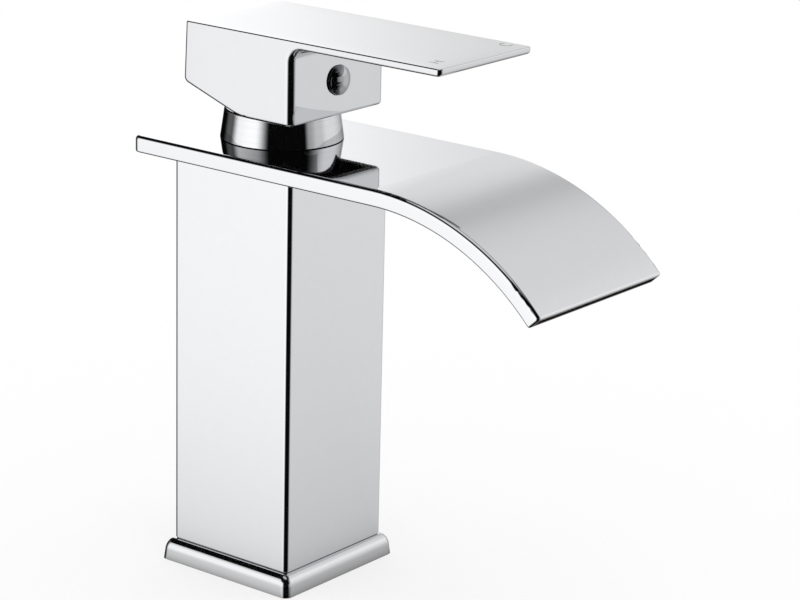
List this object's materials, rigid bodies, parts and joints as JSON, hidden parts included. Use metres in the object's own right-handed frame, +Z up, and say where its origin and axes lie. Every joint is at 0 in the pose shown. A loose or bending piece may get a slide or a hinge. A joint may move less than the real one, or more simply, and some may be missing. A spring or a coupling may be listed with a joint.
{
  "type": "waterfall basin faucet",
  "caption": "Deck-mounted single-lever basin mixer with a square column, a flat spout plate curved down to a wide slot, and a flat lever on a square block.",
  "frame": {"origin": "centre of the base on the deck, at the underside of the base flange", "axes": "+Z up along the column, -Y towards the spout's lip and the lever's tip, -X the hot side"},
  "size_m": [0.0592, 0.1488, 0.168],
  "materials": {
    "chrome": "polished chrome plate over brass",
    "plug": "polished chrome plate",
    "rubber": "matt black",
    "brass": "machined",
    "steel": "machined",
    "cartridge_plastic": "moulded, off-white",
    "rotor_plastic": "moulded, blue",
    "comb_plastic": "moulded, dark grey",
    "ceramic": "lapped ceramic, white"
  },
  "bodies": {
    "base": {"column_body": "chrome", "spout": "chrome", "base_flange": "chrome", "base_gasket": "rubber", "bonnet": "chrome", "bonnet_o_ring": "rubber", "cartridge_nut": "brass", "cartridge_housing": "cartridge_plastic", "housing_o_ring": "rubber", "cartridge_base": "cartridge_plastic", "port_seals": "rubber", "disc_seals": "rubber", "fixed_disc": "ceramic", "flow_straightener": "comb_plastic"},
    "rotor": {"stem_rotor": "rotor_plastic", "rotor_o_ring": "rubber", "pivot_pin": "steel"},
    "disc": {"moving_disc": "ceramic", "disc_carrier": "rotor_plastic"},
    "lever": {"stem": "brass", "handle": "chrome", "set_screw": "steel", "screw_plug": "plug"}
  },
  "joints": [
    {"name": "swivel", "type": "hinge", "parent": "base", "child": "rotor", "pos_m": [0, 0, 0.131], "axis": [0, 0, 1], "range_deg": [-45, 45]},
    {"name": "lift", "type": "hinge", "parent": "rotor", "child": "lever", "pos_m": [0, 0, 0.131], "axis": [-1, 0, 0], "range_deg": [0, 18]},
    {"name": "disc_slide", "type": "slide", "parent": "rotor", "child": "disc", "axis": [0, -1, 0], "range_m": [0, 0.0046]}
  ],
  "couplings": [
    {"joint": "disc_slide", "follows": "lift", "m_per_rad": 0.01434}
  ]
}
